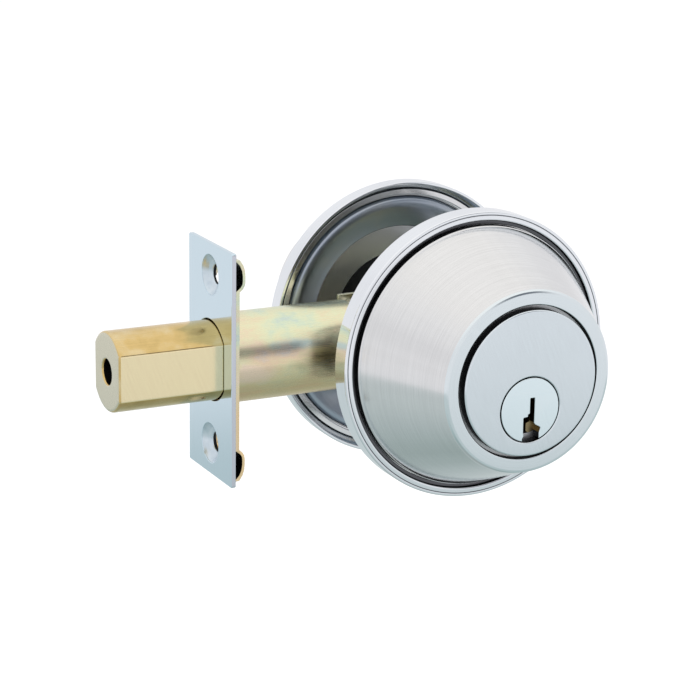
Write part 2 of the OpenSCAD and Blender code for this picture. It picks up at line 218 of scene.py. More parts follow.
# ---------------------------------------------------------------- materials
class Tree:
    def __init__(self, name):
        self.mat = bpy.data.materials.new(name)
        self.mat.use_nodes = True
        self.t = self.mat.node_tree
        self.t.nodes.clear()
        self.out = self.t.nodes.new("ShaderNodeOutputMaterial")
        self.bsdf = self.t.nodes.new("ShaderNodeBsdfPrincipled")
        self.link(self.bsdf.outputs[0], self.out.inputs[0])

    def link(self, a, b):
        self.t.links.new(a, b)

    def new(self, kind, **sets):
        n = self.t.nodes.new(kind)
        for k, v in sets.items():
            setattr(n, k, v)
        return n

    def math(self, op, a, b=None, c=None):
        n = self.new("ShaderNodeMath", operation=op)
        for i, v in enumerate((a, b, c)):
            if v is None:
                continue
            if isinstance(v, (int, float)):
                n.inputs[i].default_value = v
            else:
                self.link(v, n.inputs[i])
        return n.outputs[0]

    def xyz(self):
        tc = self.new("ShaderNodeTexCoord")
        s = self.new("ShaderNodeSeparateXYZ")
        self.link(tc.outputs["Object"], s.inputs[0])
        return s.outputs[0], s.outputs[1], s.outputs[2]

    def vec(self, x, y, z):
        n = self.new("ShaderNodeCombineXYZ")
        for i, v in enumerate((x, y, z)):
            if isinstance(v, (int, float)):
                n.inputs[i].default_value = v
            else:
                self.link(v, n.inputs[i])
        return n.outputs[0]

    def noise(self, vec, scale=1.0, detail=3.0, rough=0.55):
        n = self.new("ShaderNodeTexNoise")
        n.inputs["Scale"].default_value = scale
        n.inputs["Detail"].default_value = detail
        n.inputs["Roughness"].default_value = rough
        self.link(vec, n.inputs["Vector"])
        return n.outputs[0]

    def ramp(self, fac, stops, mode="LINEAR"):
        n = self.new("ShaderNodeValToRGB")
        n.color_ramp.interpolation = mode
        els = n.color_ramp.elements
        while len(els) < len(stops):
            els.new(0.5)
        for e, (p, c) in zip(els, stops):
            e.position = p
            e.color = (*c, 1) if len(c) == 3 else c
        self.link(fac, n.inputs[0])
        return n.outputs[0]

    def mix(self, fac, a, b, blend="MIX"):
        n = self.new("ShaderNodeMix", data_type="RGBA", blend_type=blend)
        for sock, v in ((n.inputs[0], fac), (n.inputs[6], a), (n.inputs[7], b)):
            if isinstance(v, (int, float)):
                sock.default_value = v
            elif isinstance(v, tuple):
                sock.default_value = (*v, 1) if len(v) == 3 else v
            else:
                self.link(v, sock)
        return n.outputs[2]


def grain_vector(t, kind, scale, cx=0.0, cz=0.0):
    """Coordinates in which noise is drawn out along the brushing."""
    x, y, z = t.xyz()
    if kind == "turned":
        px, pz = t.math("SUBTRACT", x, cx * MM), t.math("SUBTRACT", z, cz * MM)
        r = t.math("SQRT", t.math("ADD", t.math("MULTIPLY", px, px), t.math("MULTIPLY", pz, pz)))
        r = t.math("MAXIMUM", r, 1e-5)
        u = t.math("MULTIPLY", t.math("DIVIDE", px, r), 1.6)
        v = t.math("MULTIPLY", t.math("DIVIDE", pz, r), 1.6)
        w = t.math("MULTIPLY", t.math("ADD", t.math("MULTIPLY", y, 0.73), r), scale)
        return t.vec(u, v, w)
    if kind == "fine":
        # straight fine grain, slightly off upright
        u = t.math("ADD", t.math("MULTIPLY", x, 0.93), t.math("MULTIPLY", z, 0.37))
        v = t.math("SUBTRACT", t.math("MULTIPLY", z, 0.93), t.math("MULTIPLY", x, 0.37))
        return t.vec(t.math("MULTIPLY", u, scale), t.math("MULTIPLY", y, scale), t.math("MULTIPLY", v, scale * 0.06))
    if kind == "x":
        return t.vec(t.math("MULTIPLY", x, scale * 0.02), t.math("MULTIPLY", y, scale), t.math("MULTIPLY", z, scale))
    if kind == "z":
        return t.vec(t.math("MULTIPLY", x, scale), t.math("MULTIPLY", y, scale), t.math("MULTIPLY", z, scale * 0.02))
    return t.vec(t.math("MULTIPLY", x, scale), t.math("MULTIPLY", y, scale), t.math("MULTIPLY", z, scale))


def metal(name, color, rough, spread=0.04, kind="none", scale=5000.0, bump=0.0, aniso=0.0, crease_shade=0.0,
          tint=None, wear=0.25, cx=0.0, cz=0.0, colour_grain=0.04, patch=70.0, sheen_sectors=0.0, shade_bore=0.0):
    t = Tree(name)
    b = t.bsdf
    b.inputs["Metallic"].default_value = 1.0
    x, y, z = t.xyz()
    g = t.noise(grain_vector(t, kind, scale, cx, cz), 1.0, 4.0, 0.62)
    big = t.noise(t.vec(x, y, z), patch, 3.0, 0.55)
    fine = t.noise(t.vec(x, y, z), 900.0, 2.0, 0.5)
    # roughness: base, brushing, broad smudges
    rr = t.math("ADD", rough - spread * 0.9, t.math("MULTIPLY", g, spread))
    rr = t.math("ADD", rr, t.math("MULTIPLY", big, spread * 0.8))
    rr = t.math("MAXIMUM", rr, 0.02)
    t.link(rr, b.inputs["Roughness"])
    # colour: base, grain, patches, worn edges, painted shade in the corners
    dark = tuple(c * (1 - colour_grain * 2.2) for c in color)
    light = tuple(min(1.0, c * (1 + colour_grain)) for c in color)
    col = t.mix(g, dark, light)
    if tint:
        tv = t.ramp(big, [(0.30, tint[0]), (0.50, color), (0.70, tint[1])])
        col = t.mix(0.55, col, tv)
    if sheen_sectors:
        # painted sheen: broad light and dark sectors round the axis, standing for how circularly brushed metal reflects
        px, pz = t.math("SUBTRACT", x, cx * MM), t.math("SUBTRACT", z, cz * MM)
        r = t.math("MAXIMUM", t.math("SQRT", t.math("ADD", t.math("MULTIPLY", px, px), t.math("MULTIPLY", pz, pz))), 1e-5)
        sheen_noise = t.noise(t.vec(t.math("DIVIDE", px, r), t.math("DIVIDE", pz, r), 0.0), 4.5, 4.0, 0.6)
        sm = t.math("ADD", 1 - sheen_sectors * 1.6, t.math("MULTIPLY", sheen_noise, sheen_sectors * 3.2))
        sc = t.new("ShaderNodeVectorMath", operation="SCALE")
        t.link(col, sc.inputs[0])
        t.link(sm, sc.inputs["Scale"])
        col = sc.outputs[0]
    if shade_bore:
        # the flat round the opening was ground brighter than the dished part; a thin dark ring is painted at its edge
        # as the step's shadow, and the opening's own wall is painted black as shade
        r = t.math("SQRT", t.math("ADD", t.math("MULTIPLY", x, x), t.math("MULTIPLY", z, z)))
        col = t.mix(t.math("LESS_THAN", r, 23.55 * MM), col, (0.10, 0.105, 0.12))
        col = t.mix(t.math("LESS_THAN", r, 23.2 * MM), col, t.mix(big, (0.92, 0.95, 0.99), (0.99, 0.98, 0.95)))
        col = t.mix(t.math("LESS_THAN", r, shade_bore * MM), col, (0.03, 0.032, 0.036))
    geo = t.new("ShaderNodeNewGeometry")
    if wear:
        edge = t.ramp(geo.outputs["Pointiness"], [(0.51, (0, 0, 0)), (0.60, (1, 1, 1))])
        worn = t.math("MULTIPLY", t.math("MULTIPLY", edge, fine), wear * 1.6)
        col = t.mix(worn, col, tuple(min(1.0, c * 1.12 + 0.04) for c in color))
    # painted shade: concave creases and recesses are darkened where shade falls
    if crease_shade:
        crease_shade_mask = t.ramp(geo.outputs["Pointiness"], [(0.40, (1, 1, 1)), (0.49, (0, 0, 0))])
        col = t.mix(t.math("MULTIPLY", crease_shade_mask, crease_shade), col, tuple(c * 0.35 for c in color))
    t.link(col, b.inputs["Base Color"])
    if bump:
        n = t.new("ShaderNodeBump")
        n.inputs["Strength"].default_value = 0.5
        n.inputs["Distance"].default_value = bump * MM
        h = t.math("ADD", g, t.math("MULTIPLY", fine, 0.25))
        t.link(h, n.inputs["Height"])
        t.link(n.outputs[0], b.inputs["Normal"])
    if aniso:
        b.inputs["Anisotropic"].default_value = aniso
        tan = t.new("ShaderNodeTangent", direction_type="RADIAL", axis="Y" if kind == "turned" else "X")
        if kind == "turned":
            t.link(tan.outputs[0], b.inputs["Tangent"])
        else:
            b.inputs["Anisotropic Rotation"].default_value = 0.25
            t.link(tan.outputs[0], b.inputs["Tangent"])
    return t.mat


def zinc(name, rough=0.25):
    """Yellow zinc plating: thin-film tints drift from pale green to straw, pink and blue-grey along the metal."""
    t = Tree(name)
    b = t.bsdf
    b.inputs["Metallic"].default_value = 1.0
    x, y, z = t.xyz()
    drift = t.noise(t.vec(t.math("MULTIPLY", x, 95), t.math("MULTIPLY", y, 90), t.math("MULTIPLY", z, 150)), 1.0, 5.0, 0.6)
    streak = t.noise(t.vec(t.math("MULTIPLY", x, 25), t.math("MULTIPLY", y, 800), t.math("MULTIPLY", z, 800)), 1.0, 4.0, 0.6)
    grain = t.noise(t.vec(t.math("MULTIPLY", x, 90), t.math("MULTIPLY", y, 5200), t.math("MULTIPLY", z, 5200)), 1.0, 3.0, 0.6)
    f = t.math("ADD", t.math("MULTIPLY", drift, 0.85), t.math("MULTIPLY", streak, 0.15))
    col = t.ramp(f, [(0.27, (0.50, 0.64, 0.72)), (0.37, (0.68, 0.80, 0.62)), (0.46, (0.82, 0.84, 0.56)),
                     (0.54, (0.86, 0.78, 0.52)), (0.62, (0.90, 0.70, 0.52)), (0.72, (0.70, 0.68, 0.68))])
    # painted shade: the tube's underside is tinted darker and more golden
    underside_shade = t.new("ShaderNodeMapRange")
    underside_shade.inputs["From Min"].default_value, underside_shade.inputs["From Max"].default_value = 0.004, -0.010
    t.link(z, underside_shade.inputs["Value"])
    col = t.mix(t.math("MULTIPLY", underside_shade.outputs[0], 0.85), col, (0.95, 0.62, 0.27))
    # a blue and a rosy cloud midway down the side that faces out
    def cloud(cx, cz, rx, rz, tone, k):
        u = t.math("DIVIDE", t.math("SUBTRACT", x, cx * MM), rx * MM)
        v = t.math("DIVIDE", t.math("SUBTRACT", z, cz * MM), rz * MM)
        d = t.math("ADD", t.math("MULTIPLY", u, u), t.math("MULTIPLY", v, v))
        d = t.math("ADD", d, t.math("MULTIPLY", t.math("SUBTRACT", drift, 0.5), 4.0))
        m = t.new("ShaderNodeMapRange", interpolation_type="SMOOTHSTEP")
        m.inputs["From Min"].default_value, m.inputs["From Max"].default_value = 1.3, 0.0
        t.link(d, m.inputs["Value"])
        side = t.new("ShaderNodeMapRange", interpolation_type="SMOOTHSTEP")
        side.inputs["From Min"].default_value, side.inputs["From Max"].default_value = -0.002, -0.006
        t.link(y, side.inputs["Value"])
        return t.mix(t.math("MULTIPLY", t.math("MULTIPLY", m.outputs[0], side.outputs[0]), k), col, tone)
    col = cloud(-43, 4.2, 8, 1.6, (0.50, 0.66, 0.70), 0.8)
    col = cloud(-53, -1.5, 6, 3.0, (0.98, 0.72, 0.58), 0.75)
    col = cloud(-36, 0.5, 8, 3.0, (0.62, 0.54, 0.30), 0.7)
    col = t.mix(t.math("MULTIPLY", grain, 0.30), col, (0.66, 0.62, 0.44))
    # inside the pressed pockets behind the faceplate: painted shade, near black
    def between(v, a0, a1):
        return t.math("MULTIPLY", t.math("GREATER_THAN", v, a0 * MM), t.math("LESS_THAN", v, a1 * MM))
    az = t.math("ABSOLUTE", z)
    pocket_shade = t.math("MULTIPLY", between(x, XF + FT0 - .01, XF + FT0 + 1.72), between(az, 19.35, 26.65))
    pocket_shade = t.math("MULTIPLY", pocket_shade, t.math("LESS_THAN", t.math("ABSOLUTE", y), (fp_hi[1] - .32) * MM))
    col = t.mix(pocket_shade, col, (0.02, 0.02, 0.02))
    geo = t.new("ShaderNodeNewGeometry")
    edge = t.ramp(geo.outputs["Pointiness"], [(0.51, (0, 0, 0)), (0.60, (1, 1, 1))])
    col = t.mix(t.math("MULTIPLY", edge, 0.4), col, (0.90, 0.90, 0.86))
    t.link(col, b.inputs["Base Color"])
    r = t.math("ADD", rough - 0.05, t.math("MULTIPLY", t.math("ADD", grain, streak), 0.07))
    t.link(r, b.inputs["Roughness"])
    n = t.new("ShaderNodeBump")
    n.inputs["Strength"].default_value = 0.4
    n.inputs["Distance"].default_value = 0.004 * MM
    t.link(t.math("ADD", grain, t.math("MULTIPLY", streak, 0.6)), n.inputs["Height"])
    t.link(n.outputs[0], b.inputs["Normal"])
    return t.mat


polished = metal("polished_chrome", (0.78, 0.82, 0.85), 0.06, 0.03, scale=2500, bump=0.0008, colour_grain=0.012, crease_shade=0.3, wear=0.2)
polished_rim = metal("polished_rim", (0.88, 0.905, 0.935), 0.07, 0.03, kind="turned", scale=4500, bump=0.0016, colour_grain=0.03, crease_shade=0.3, wear=0.2)
polished_plate = metal("polished_plate", (0.66, 0.79, 0.86), 0.09, 0.04, kind="z", scale=3500, bump=0.0022, colour_grain=0.035, crease_shade=0.3, wear=0.25)
satin = metal("satin_chrome", (0.815, 0.815, 0.815), 0.145, 0.06, kind="turned", scale=5200, bump=0.004, aniso=0.5, colour_grain=0.085, crease_shade=0.1, wear=0.05,
              sheen_sectors=0.045)
turn_mat = metal("turn_satin", (0.78, 0.80, 0.81), 0.19, 0.07, kind="x", scale=3000, bump=0.004, colour_grain=0.06, crease_shade=0.1, wear=0.05)
nose_mat = metal("nose_ring", (0.80, 0.86, 0.885), 0.13, 0.05, kind="turned", scale=4800, bump=0.003, colour_grain=0.04, crease_shade=0.2, wear=0.15)
dish_mat = metal("pressed_dish", (0.70, 0.79, 0.85), 0.30, 0.10, scale=1500, bump=0.006, colour_grain=0.07, crease_shade=0.4, wear=0.1,
                 tint=((0.58, 0.68, 0.76), (0.78, 0.84, 0.90)), patch=420)
sheared = metal("sheared_edge", (0.66, 0.68, 0.745), 0.16, 0.06, kind="z", scale=3000, bump=0.004, colour_grain=0.05, crease_shade=0.0, wear=0.1)
cap_mat = metal("cylinder_face", (0.78, 0.84, 0.875), 0.16, 0.06, kind="fine", scale=2600, bump=0.003, colour_grain=0.045, crease_shade=0.2, wear=0.15)
plug_mat = metal("plug_face", (0.84, 0.945, 0.985), 0.12, 0.05, kind="fine", scale=2600, bump=0.002, colour_grain=0.03, crease_shade=0.0, wear=0.1)
brass_bolt = metal("drawn_brass", (0.75, 0.545, 0.23), 0.18, 0.09, kind="x", scale=3600, bump=0.012, aniso=0.3, colour_grain=0.17, crease_shade=0.2, wear=0.4,
                   tint=((0.56, 0.40, 0.15), (0.86, 0.73, 0.46)), patch=190)
brass_flat = metal("milled_brass", (1.0, 0.83, 0.53), 0.20, 0.08, kind="fine", scale=2200, bump=0.008, colour_grain=0.045, crease_shade=0.0, wear=0.2)
brass_end = metal("faced_brass", (0.70, 0.67, 0.52), 0.28, 0.10, kind="fine", scale=2200, bump=0.006, colour_grain=0.05, crease_shade=0.0, wear=0.2)
pin_brass = metal("pin_brass", (0.80, 0.63, 0.30), 0.18, 0.06, kind="turned", scale=3000, bump=0.002, colour_grain=0.05)
# brass keyway walls, darkened as painted shade inside the narrow slot
shaded_keyway_brass = metal("shaded_keyway_brass", (0.30, 0.24, 0.13), 0.30, 0.08, kind="z", scale=2600, bump=0.004, colour_grain=0.10, wear=0.0)
# painted shade: dark grey in the fine groove on the rim's front
groove_line_shade = metal("painted_groove_dark", (0.27, 0.28, 0.31), 0.25, 0.08, kind="turned", scale=2600, bump=0.002, colour_grain=0.10, wear=0.0)
# painted shade: near black for the floor of the groove between rim and collar
groove_floor_shade = metal("painted_groove_floor", (0.13, 0.13, 0.14), 0.30, 0.08, kind="turned", scale=2600, bump=0.002, colour_grain=0.12, wear=0.0)
gap = metal("gap_shadow", (0.022, 0.024, 0.028), 0.45, 0.08, scale=1800, bump=0.002, colour_grain=0.10, wear=0.0)
inner = metal("unpolished_back", (0.60, 0.64, 0.68), 0.17, 0.07, kind="turned", scale=2600, bump=0.005, colour_grain=0.08, crease_shade=0.2, wear=0.1,
              tint=((0.42, 0.47, 0.50), (0.56, 0.57, 0.55)))
yellow = zinc("yellow_zinc")
steel = metal("plain_steel", (0.60, 0.61, 0.62), 0.24, 0.08, scale=1600, bump=0.003, colour_grain=0.05, crease_shade=0.4, wear=0.4)
hard = metal("hardened_steel", (0.16, 0.15, 0.14), 0.30, 0.08, kind="x", scale=4000, bump=0.002, colour_grain=0.05, wear=0.2)
cast = metal("cast_zinc", (0.56, 0.57, 0.58), 0.38, 0.10, scale=1100, bump=0.02, colour_grain=0.07, crease_shade=0.4, wear=0.4)
spring = metal("spring_steel", (0.66, 0.67, 0.68), 0.16, 0.06, scale=2500, bump=0.001, colour_grain=0.04)
# painted shade: a dark ring at the step and black inside the central opening
dark = metal("dark_steel", (0.40, 0.45, 0.52), 0.30, 0.10, kind="turned", scale=2600, bump=0.004, colour_grain=0.07, crease_shade=0.1, wear=0.15,
             tint=((0.38, 0.43, 0.50), (0.50, 0.51, 0.50)), shade_bore=16.4)
# painted shade: near-black metal for the core, standing for the shade seen through the opening in front of it
shade_black_core = metal("shade_black_core", (0.05, 0.052, 0.06), 0.36, 0.10, scale=1100, bump=0.02, colour_grain=0.07, crease_shade=0.2, wear=0.1)

BY_SLOT = {"polished_chrome": polished, "satin_chrome": satin, "yellow_zinc": yellow, "satin_brass": brass_bolt,
           "plain_steel": steel, "hardened_steel": hard, "cast_metal": cast, "pin_brass": pin_brass,
           "spring_steel": spring, "dark_steel": dark}
for sp in frame["record"]["subparts"]:
    ob = frame["nodes"][sp["node"]]
    ob.data.materials.clear()
    # inside_core is painted near black as shade
    ob.data.materials.append(shade_black_core if sp["node"] == "inside_core" else BY_SLOT[sp["material_slot"]])
    if sp["node"] != "pin_springs":
        w = ob.modifiers.new("weld", "WELD")
        w.merge_threshold = 2e-6
        bv = ob.modifiers.new("edges", "BEVEL")
        bv.width, bv.segments, bv.limit_method = 0.00013, 2, "ANGLE"
        bv.angle_limit = math.radians(38)
        bv.harden_normals = False
        ob.modifiers.new("weighted", "WEIGHTED_NORMAL")
    ob.data.shade_smooth()


# ---------------------------------------------------------------- roses and collars
def rim(side):
    d, w = (DO if side < 0 else DI), RIM[side]
    p = [(ROSE, 0, .2), (ROSE, w - .06, .55), (ROSE - .72, w - .06, .05), (ROSE - .78, w - .22, .04), (ROSE - .9, w - .22, .04), (ROSE - .96, w, .12),
         (CONE + 1.12, w, .42), (CONE + 1.08, w - .95, .12), (CONE + .2, w - .95, .12),
         (CONE + .2, w - 1.5, .1), (CONE + 1.05, w - 1.5, .15), (ROSE - .72, 0, .2)]
    return [(r, side * (d + y)) for r, y in fillet(p, 8)]


def collar(side):
    d, w = (DO if side < 0 else DI), RIM[side]
    outer = [(CONE + 1, w - 1.6, .1), (CONE, w - 1.6, .05), (CONE, w + .35, .25), (CONE - .25, w + .62, .4),
             (NOSE + .02, NOSE_D - .1, .15), (NOSE - .12, NOSE_D + .42, .3), (NOSE - .45, NOSE_D + .83, .4), (NOSE - .95, RING, .4),
             (NOSE_HOLE, RING, .3), (NOSE_HOLE, RING - 3.4, .2), (NOSE - .9, RING - 3.4, .5), (CONE - 1.5, w + .4, 2.0)]
    if side < 0:
        p = [(CONE + 1, 3.0, .1)] + outer + [(CONE - 1.5, 3.0, .2)]
    else:
        p = [(CONE + 1, w - 2.1, .1)] + outer + [(CONE - 1.5, w - .5, .1), (CONE - .65, w - .5, .05), (CONE - .65, w - 1.6, .05),
                                                 (CONE - .3, w - 1.6, .05), (CONE - .3, w - 2.1, .15)]
    return [(r, side * (d + y)) for r, y in fillet(p, 6)]


def rim_paint(side):
    d, w = (DO if side < 0 else DI), RIM[side]

    def f(x, y, z, nx, ny, nz):
        r, h = math.hypot(x, z), side * y - d
        if CONE + .85 < r < CONE + 1.2 and w - .9 < h < w - .38:
            return 1
        # fine groove on the rim's front: painted dark as shade
        if ROSE - .93 < r < ROSE - .74 and h > w - .3:
            return 3
        # groove floor: painted near black as shade
        if r < CONE + 1.2 and w - 1.1 < h < w - .85:
            return 1 if r > CONE + .75 else 4
        if r < ROSE - .5 and h < w - 1.2:
            return 2
        return 0
    return f


def collar_paint(side):
    d, w = (DO if side < 0 else DI), RIM[side]

    def f(x, y, z, nx, ny, nz):
        r, h = math.hypot(x, z), side * y - d
        if r < NOSE_HOLE + .06 and h < RING - .12:
            return 1
        # collar wall in the groove: black gap shadow deep down, painted dark shade near its top
        if CONE - .05 < r and w - 1.55 < h < w + .12:
            return 1 if h < w - .3 else 4
        if h > NOSE_D + .3 and r < NOSE - .02:
            return 3
        if x * nx + z * nz < 0 and h < RING - 3.0:
            return 2
        return 0
    return f


for side, who, body in ((-1, "outside", "fixed"), (1, "inside", "fixed")):
    piece(f"{who}_rose_ring", lathe_y(rim(side), segs=320), body, [f"{who}_rose"], [polished_rim, gap, inner, groove_line_shade, groove_floor_shade], paint=rim_paint(side))
    piece(f"{who}_tapered_collar", lathe_y(collar(side), segs=320), "collar" if side < 0 else body, [f"{who}_collar"],
          [satin, gap, inner, nose_mat, groove_floor_shade], paint=collar_paint(side))


def disc(side, hole_r, hole_z):
    d = DO if side < 0 else DI
    seq = fillet([(0.0, CAP_D - 2.5, 0), (1.0, CAP_D - 2.5, .1), (1.0, CAP_D, .4), (0.0, CAP_D, .3)], 6)
    # the profile runs in a blend s of outer circle (s = 1) and hole (s = 0), with offsets in mm kept true near each edge
    rings = []
    outer = fillet([(CAP - 4, CAP_D - 2.5, 0), (CAP, CAP_D - 2.5, .1), (CAP, CAP_D, .45), (CAP - 4, CAP_D, 0)], 6)
    inner = fillet([(hole_r + 2, CAP_D, 0), (hole_r, CAP_D, .3), (hole_r, CAP_D - 2.5, .1), (hole_r + 2, CAP_D - 2.5, 0)], 6)
    for r, y in outer[1:-1]:
        rings.append(ring_y(r, side * (d + y), segs=288))
    for r, y in inner[1:-1]:
        rings.append(ring_y(r, side * (d + y), 0, hole_z, segs=288))
    return loft(rings, close=True)


def disc_paint(side):
    d = DO if side < 0 else DI
    return lambda x, y, z, nx, ny, nz: 1 if side * y - d < CAP_D - .22 else 0


piece("cylinder_face", disc(-1, PLUG + .28, PLUG_Z), "fixed", ["cylinder_cap"], [cap_mat, gap], paint=disc_paint(-1))
piece("inside_face", disc(1, 5.3, PLUG_Z), "fixed", ["inside_cap"], [cap_mat, gap], paint=disc_paint(1))


# ---------------------------------------------------------------- key plug
def keyed(radius, left, right, n=220):
    """Circle with the keyway cut up into it from below; u to the right, v up, seen from outside."""
    a0 = math.atan2(-math.sqrt(radius ** 2 - right[-1][0] ** 2), right[-1][0])
    a1 = math.atan2(-math.sqrt(radius ** 2 - left[0][0] ** 2), left[0][0])
    span = (a1 - a0) % (2 * math.pi)
    arc = [(radius * math.cos(a0 + span * k / n), radius * math.sin(a0 + span * k / n)) for k in range(n + 1)]
    return arc + left + right[:-1]


def place_plug(y0, depth):
    return lambda u, v, w: (u, y0 + depth / 2 - w, v + PLUG_Z)


yf = -(DO + CAP_D)
upper = [(-1.7, -5.5), (-1.7, -1.95), (-1.55, -1.8), (-0.62, -1.7), (-0.5, -1.6), (-0.5, -1.15), (0, -0.9), (0, 2.7), (.1, 2.8), (1.1, 2.8), (1.2, 2.7)]
face_left = [(-1.9, -6.9), (-1.5, -6.2)] + upper
face_right = [(1.2, -3.3), (1.5, -3.75), (2.75, -4.45), (2.95, -4.75), (2.6, -5.8), (2.6, -7.0)]
body_left = [(-1.2, -6.1), (-1.7, -5.7)] + upper[1:]
body_right = [(1.2, -3.6), (0.3, -4.0), (0.3, -5.8), (0.9, -6.2)]
flange = from_curve([keyed(PLUG, face_left, face_right)], 2.4, 0.14, place_plug(yf, 2.4))
y_end = -DO + .2
barrel = from_curve([keyed(6.4, body_left, body_right)], y_end - 3.3 - (yf + 2.3), 0.05, place_plug(yf + 2.3, y_end - 3.3 - (yf + 2.3)))
rear = loft([ring_y(r, y, 0, PLUG_Z, 128) for r, y in fillet([(1.6, y_end - 3.4, 0), (6.38, y_end - 3.4, .1), (6.38, y_end, .2), (5.0, y_end, .1),
                                                             (5.0, -DO + 3.5, .2), (3.5, -DO + 3.5, .1), (3.5, y_end - 3.0, 0), (1.6, y_end - 3.0, 0)], 4)], close=True)


def plug_paint(x, y, z, nx, ny, nz):
    if y < yf + .2:
        return 0
    if math.hypot(x, z - PLUG_Z) > 6.45:
        return 1
    # keyway walls: brass painted dark as shade
    return 2


piece("key_plug_face", join(flange, barrel, rear), "plug", ["key_plug"], [plug_mat, gap, shaded_keyway_brass], sharp=25, paint=plug_paint, flat=1)

# ---------------------------------------------------------------- faceplate
def bolt_radius(t, R, F, k=9.0):
    a = F / max(abs(math.cos(t)), 1e-3)
    m = min(R, a)
    return m - math.log(math.exp(-k * (R - m)) + math.exp(-k * (a - m))) / k


def bolt_outline(R, F, n=240):
    return [(bolt_radius(t, R, F) * math.cos(t), bolt_radius(t, R, F) * math.sin(t)) for t in [2 * math.pi * i / n for i in range(n)]]


def rounded(w, h, r, n=8):
    return fillet([(-w / 2, -h / 2, r), (w / 2, -h / 2, r), (w / 2, h / 2, r), (-w / 2, h / 2, r)], n)


W, H = fp_hi[1] - fp_lo[1], fp_hi[2] - fp_lo[2]
SZ = 20.8
FT = 1.2
BR, BF = bo_hi[2], bo_hi[1]
circle = lambda r, cv, n=96: [(r * math.cos(2 * math.pi * i / n), cv + r * math.sin(2 * math.pi * i / n)) for i in range(n)]
plate = from_curve([rounded(W, H, 0.5), bolt_outline(BR + .3, BF + .3), circle(4.85, SZ), circle(4.85, -SZ)],
                   FT, 0.2, lambda u, v, w: (XF + FT / 2 - w, u, v))
dish_p = fillet([(4.86, .2, 0), (4.45, .62, .8), (3.6, 1.28, 1.5), (2.42, 1.78, .25), (2.42, 2.5, .08), (3.15, 2.5, .1), (4.5, 1.15, .2), (5.2, .95, .1), (5.2, .25, 0)], 5)
dishes = [loft([ring_x(r, XF + x, 0, s * SZ, 128) for r, x in dish_p], close=True) for s in (-1, 1)]
piece("faceplate_polished", join(plate, *dishes), "fixed", ["faceplate"], [polished_plate, gap, inner, dish_mat, sheared], sharp=28, flat=0,
      paint=lambda x, y, z, nx, ny, nz: 1 if abs(nx) < .5 and abs(y) < 11 and abs(z) < 13 and x > XF + .15 else (1 if x > XF + 2.0 and math.hypot(y, abs(z) - SZ) < 2.5 else 3 if nx < .5 and x > XF + .12 and math.hypot(y, abs(z) - SZ) < 4.88
                                      else 4 if abs(ny) > .8 and abs(y) > W / 2 - .05 else (2 if nx > .5 or (x > XF + 1.0 and math.hypot(y, abs(z) - SZ) > 3.1 and nx > .1) else 0)))

# ---------------------------------------------------------------- bolt
XE, XR = bo_lo[0], bo_hi[0]
HOLE = 3.04


def section(R, F, x, k=9.0, n=288):
    t = np.arange(n) * 2 * math.pi / n
    r = np.array([bolt_radius(a, R, F, k) for a in t])
    return np.stack([np.full(n, x), r * np.cos(t), r * np.sin(t)], 1)


rings = [ring_x(HOLE, XE + 24, segs=288), ring_x(HOLE, XE + .55, segs=288)]
for k in range(1, 7):
    a = math.pi / 2 * k / 6
    rings.append(ring_x(HOLE + .5 * (1 - math.cos(a)), XE + .5 * (1 - math.sin(a)), segs=288))
rings.append(section(BR - 1.1, BF - 1.0, XE, 22))
for k in range(0, 7):
    a = math.pi / 2 * k / 6
    o = .75 * (1 - math.sin(a))
    rings.append(section(BR - o, BF - o, XE + .75 * (1 - math.cos(a)), 22))
rings += [section(BR, BF, XE + 4, 22), section(BR, BF, XR - .2, 22), section(BR - .2, BF - .2, XR, 22)]


def bolt_paint(x, y, z, nx, ny, nz):
    if math.hypot(y, z) < HOLE + .1 and x > XE + .5:
        return 3
    if nx < -.8:
        return 2
    if abs(ny) > .985:
        return 1
    return 0


piece("brass_bolt", loft(rings, cap0=True, cap1=True), "bolt", ["bolt"], [brass_bolt, brass_flat, brass_end, gap], sharp=24, paint=bolt_paint, flat=1)

# ---------------------------------------------------------------- latch tube
TR = tu_hi[2]
prof = fillet([(TR, XT, .1), (TR, tu_hi[0], .25), (9.74, tu_hi[0], .15), (9.74, XT, .1)], 5)
piece("latch_case_tube", loft([ring_x(r, x, segs=224) for r, x in prof], close=True), "fixed", ["latch_tube"], yellow)


# ---------------------------------------------------------------- inside plate (dished) and its holes stay as packed; thumb-turn
def superring(a, b, y, cz, n=192, p=3.2):
    t = np.arange(n) * 2 * math.pi / n
    c, s = np.cos(t), np.sin(t)
    r = (np.abs(c / a) ** p + np.abs(s / b) ** p) ** (-1 / p)
    return np.stack([r * c, np.full(n, y), cz + r * s], 1)


Y0, Y1 = tt_lo[1], tt_hi[1]
L, T = (tt_hi[0] - tt_lo[0]) / 2, 3.7
dome = fillet([(0.4, 0, 0), (9.4, 0, .1), (9.4, 1.1, .4), (8.5, 2.2, .8), (6.3, 3.2, .8), (0.4, 3.3, 0)], 6)
base = loft([ring_y(r, Y0 + y, 0, PLUG_Z, 192) for r, y in dome], close=True)
h = Y1 - Y0
secs = [(2.0, 6.0, 3.75), (2.6, 6.1, 3.7), (3.6, 6.4, 3.6), (4.8, 7.6, 3.5), (6.0, 9.9, 3.42), (7.2, 12.6, 3.4), (8.4, 14.9, 3.45),
        (9.6, 16.3, 3.5), (10.8, 16.9, 3.6), (12.0, L, T), (13.0, L - .1, T), (14.0, L - .6, T - .05), (14.9, L - 1.5, T - .2),
        (15.6, L - 2.5, T - .55), (16.15, L - 3.8, T - 1.05), (16.5, L - 5.2, T - 1.7), (h - .1, L - 7.2, T - 2.5), (h, L - 9.5, T - 3.2)]
rings = [superring(a, b, Y0 + y, PLUG_Z, p=3.4) for y, a, b in secs]
wing = loft(rings, cap0=True, cap1=True)
tt = piece("thumb_turn_wing", join(base, wing), "turn", ["thumb_turn"], turn_mat, sharp=50)

